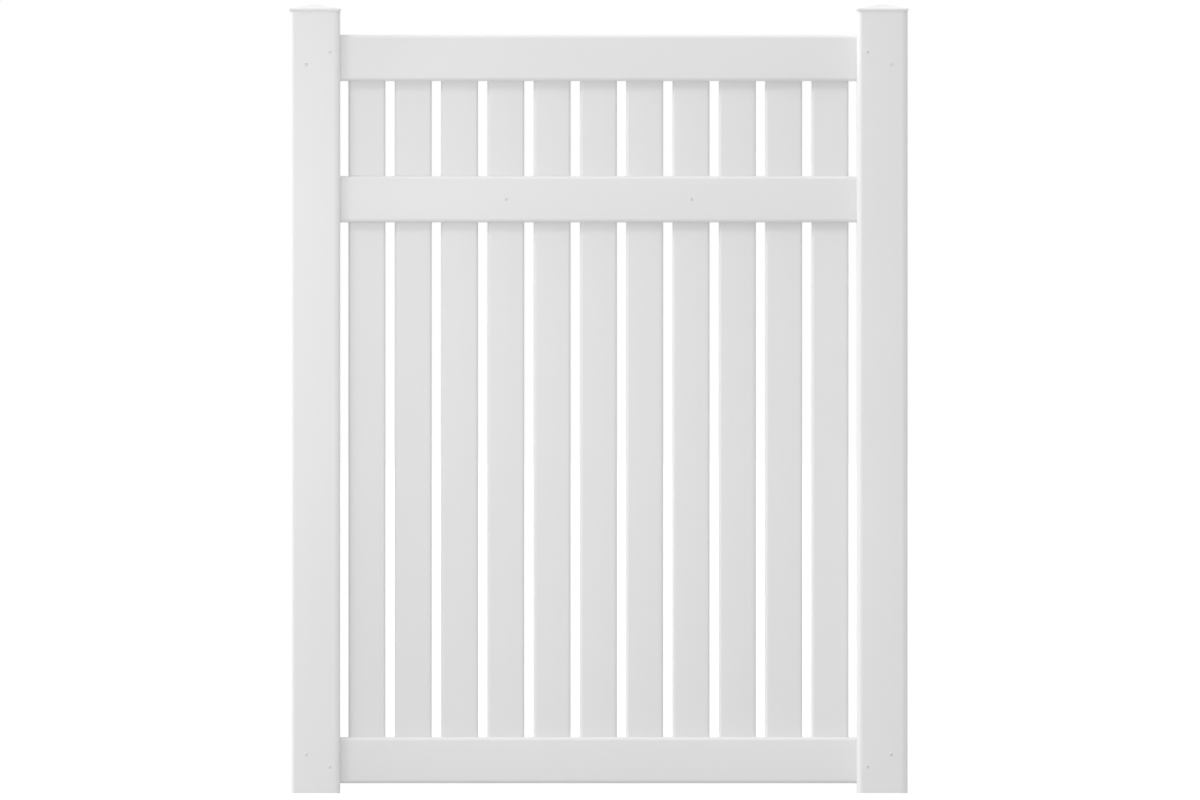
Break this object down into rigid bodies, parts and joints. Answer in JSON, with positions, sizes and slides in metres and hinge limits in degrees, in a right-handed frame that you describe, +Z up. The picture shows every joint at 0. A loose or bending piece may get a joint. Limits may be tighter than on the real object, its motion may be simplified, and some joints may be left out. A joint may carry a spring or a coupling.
{
  "type": "vinyl fence gate",
  "caption": "White vinyl privacy-style gate leaf: capped square uprights, hollow rails and close-set vertical pickets running through routed slots.",
  "frame": {"origin": "on the flat outer face of the left upright, at the middle of its width, level with its foot", "axes": "+X to the right along the gate, as seen from the front, +Y to the back, +Z up; the front, with the screws of the middle rail, looks along -Y"},
  "size_m": [1.2749, 0.1078, 1.6224],
  "materials": {
    "white_vinyl": "smooth, slightly glossy extruded vinyl",
    "bracket_plastic": "moulded, matt",
    "stiffener_aluminium": "mill finish, as extruded",
    "screw_white": "white painted heads, satin"
  },
  "bodies": {
    "root": {"left_upright": "white_vinyl", "right_upright": "white_vinyl", "left_cap": "white_vinyl", "right_cap": "white_vinyl", "top_rail": "white_vinyl", "middle_rail": "white_vinyl", "bottom_rail": "white_vinyl", "picket_01": "white_vinyl", "picket_02": "white_vinyl", "picket_03": "white_vinyl", "picket_04": "white_vinyl", "picket_05": "white_vinyl", "picket_06": "white_vinyl", "picket_07": "white_vinyl", "picket_08": "white_vinyl", "picket_09": "white_vinyl", "picket_10": "white_vinyl", "picket_11": "white_vinyl", "top_left_bracket": "bracket_plastic", "top_right_bracket": "bracket_plastic", "bottom_left_bracket": "bracket_plastic", "bottom_right_bracket": "bracket_plastic", "left_stiffener": "stiffener_aluminium", "right_stiffener": "stiffener_aluminium"}
  },
  "joints": []
}
